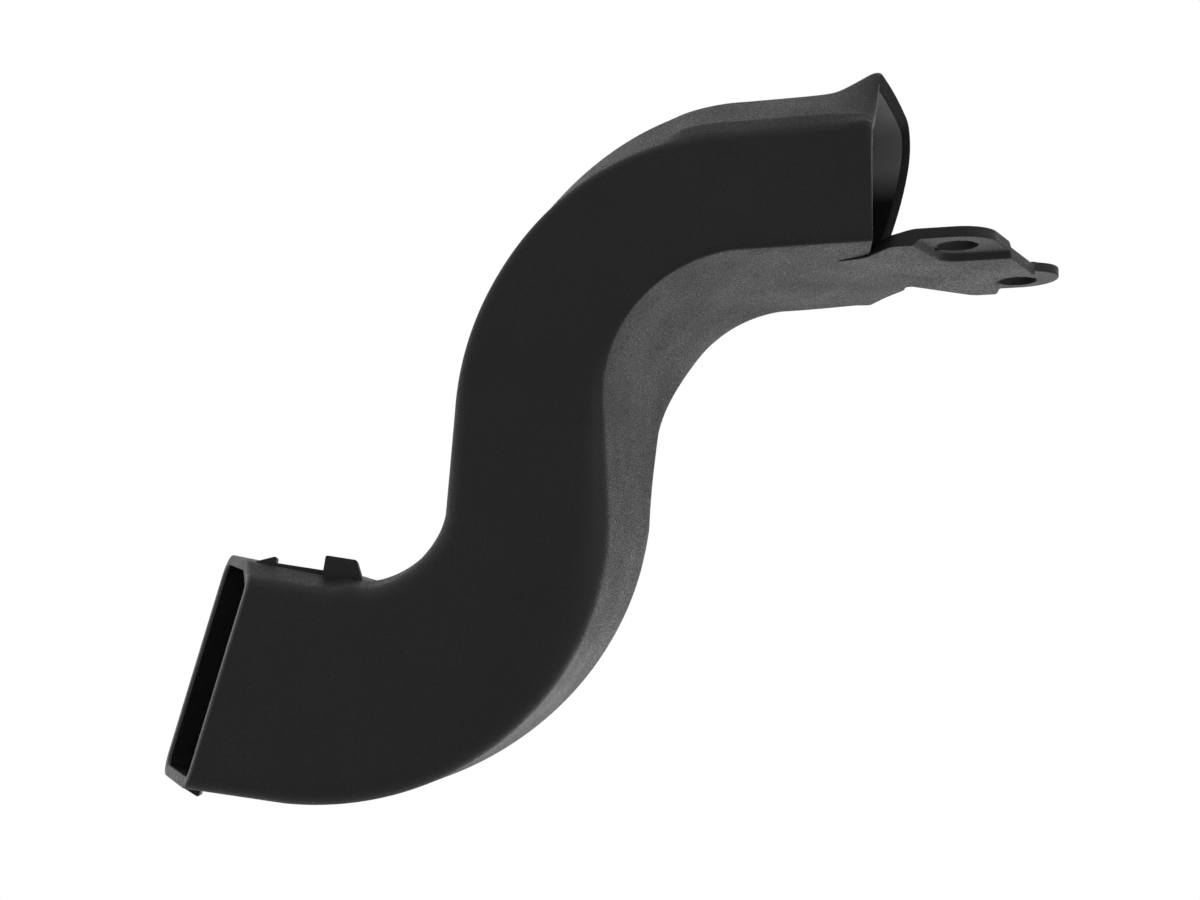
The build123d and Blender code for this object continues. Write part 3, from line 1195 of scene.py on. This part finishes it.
@dataclass(frozen=True)
class PhotoCamera:
    """Camera at the photograph's viewing angle, low on the near side and a little to the right."""

    place: Triple = (0.0403, -0.7496, -0.1664)
    turn: float = 15.5
    tilt: float = 6.9
    lens: float = 54.0
    sensor: float = 36.0

    def build(self) -> None:
        """Makes the camera and sets it as the scene's."""
        turn, tilt = math.radians(self.turn), math.radians(self.tilt)
        right = Vector((math.cos(turn), math.sin(turn), 0.0))
        ahead = Vector((-math.sin(turn) * math.cos(tilt), math.cos(turn) * math.cos(tilt), math.sin(tilt)))
        up = right.cross(ahead)
        data = bpy.data.cameras.new("camera")
        data.lens = self.lens
        data.sensor_width = self.sensor
        data.clip_start = 0.01
        camera = linked("camera", data)
        rotation = Matrix((right, up, -ahead)).transposed().to_4x4()
        camera.matrix_world = Matrix.Translation(self.place) @ rotation
        bpy.context.scene.camera = camera


@dataclass(frozen=True)
class SoftLamp:
    """Large square lamp that looks at a point."""

    name: str
    place: Triple
    aim: Triple
    width: float
    power: float

    def build(self) -> None:
        """Makes the lamp."""
        data = bpy.data.lights.new(self.name, "AREA")
        data.size = self.width
        data.energy = self.power
        lamp = linked(self.name, data)
        lamp.location = self.place
        ahead = Vector(self.aim) - Vector(self.place)
        lamp.rotation_euler = ahead.to_track_quat("-Z", "Y").to_euler()


@dataclass(frozen=True)
class Studio:
    """Soft white studio: an even surround, a pale floor below the part and four soft lamps."""

    surround: float = 0.85
    floor_height: float = -0.62
    floor_reach: float = 2.6
    floor_fade: tuple[float, float] = (0.5, 1.7)
    floor_colour: float = 0.82
    floor_roughness: float = 0.9
    floor_steps: tuple[int, int] = (8, 96)
    lamps: tuple[SoftLamp, ...] = (
        SoftLamp("lamp_right", (1.3, -0.5, 0.15), (-0.05, 0.0, -0.05), 0.8, 4.5),
        SoftLamp("lamp_top", (-0.3, -0.2, 1.4), (-0.15, 0.0, -0.05), 1.2, 2.0),
        SoftLamp("lamp_back", (0.2, 1.5, -0.2), (-0.05, 0.0, 0.0), 0.4, 0.7),
        SoftLamp("lamp_back_low", (-0.1, 0.65, -0.42), (-0.1, 0.0, -0.05), 0.4, 0.58),
    )

    def build(self) -> None:
        """Makes the surround, the floor and the lamps."""
        bpy.context.scene.view_settings.view_transform = "Standard"
        self.make_surround()
        self.make_floor()
        for lamp in self.lamps:
            lamp.build()

    def make_surround(self) -> None:
        """White world for what the camera and reflections see, and an even soft one for other light."""
        world = bpy.data.worlds.new("surround")
        bpy.context.scene.world = world
        nodes = Shading.empty(world)
        soft, white = (
            nodes.add("Background", {"Color": WHITE, "Strength": strength}) for strength in (self.surround, 1.0)
        )
        nodes.show("OutputWorld", nodes.add("MixShader", {0: nodes.seen(), 1: soft, 2: white}))

    def make_floor(self) -> None:
        """Plain pale floor below the part: a disc of rings (r cos a, r sin a) round a middle point."""
        rows, columns = self.floor_steps
        radius = np.linspace(0.0, self.floor_reach, rows + 1)[1:, None]
        angle = np.linspace(0.0, 2.0 * math.pi, columns, endpoint=False)
        level = np.full((rows, columns), self.floor_height)
        rings = np.stack([radius * np.cos(angle), radius * np.sin(angle), level], axis=-1).reshape(-1, 3)
        ring = np.arange(columns)
        fan = np.stack([np.full(columns, rows * columns), ring, np.roll(ring, -1)], axis=-1)
        faces = grid_quads(rows, columns, close_rows=False)[:, ::-1].tolist() + fan.tolist()
        floor = make_piece("floor", np.concatenate([rings, [(0.0, 0.0, self.floor_height)]]), faces)
        floor.data.materials.append(self.floor_material())

    def floor_material(self) -> bpy.types.Material:
        """Matt floor that fades to the white of the surround with the distance from its middle."""
        material = bpy.data.materials.new("pale_floor")
        nodes = Shading.empty(material)
        colour = (self.floor_colour,) * 3 + (1.0,)
        matt = nodes.add("BsdfPrincipled", {"Base Color": colour, "Roughness": self.floor_roughness})
        white = nodes.add("Emission", {"Color": WHITE, "Strength": 1.0})
        place = nodes.add("TexCoord", {}, "Object")
        level = nodes.worked_out("MULTIPLY", place, (1.0, 1.0, 0.0), kind="VectorMath", output="Vector")
        radius = nodes.worked_out("LENGTH", level, kind="VectorMath")
        fade = nodes.mapped(radius, self.floor_fade, (0.0, 1.0), "SMOOTHSTEP")
        share = nodes.worked_out("MULTIPLY", fade, nodes.seen())
        nodes.show("OutputMaterial", nodes.add("MixShader", {0: share, 1: matt, 2: white}))
        return material


def main() -> None:
    """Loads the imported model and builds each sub-assembly."""
    logging.basicConfig(level=logging.INFO, format="%(name)s: %(message)s")
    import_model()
    shell = SHELL_FINISH.material()
    PhotoCamera().build()
    dress(Duct().build(), shell, TRIMMED_FINISH.material(), PAINTED_LIGHT_AND_SHADE_FINISH.material(), COARSE_FINISH.material())
    dress(Bracket().build(), shell)
    for fitting in OutletFittings().build():
        dress(fitting, shell)
    Studio().build()


if __name__ == "__main__":
    main()
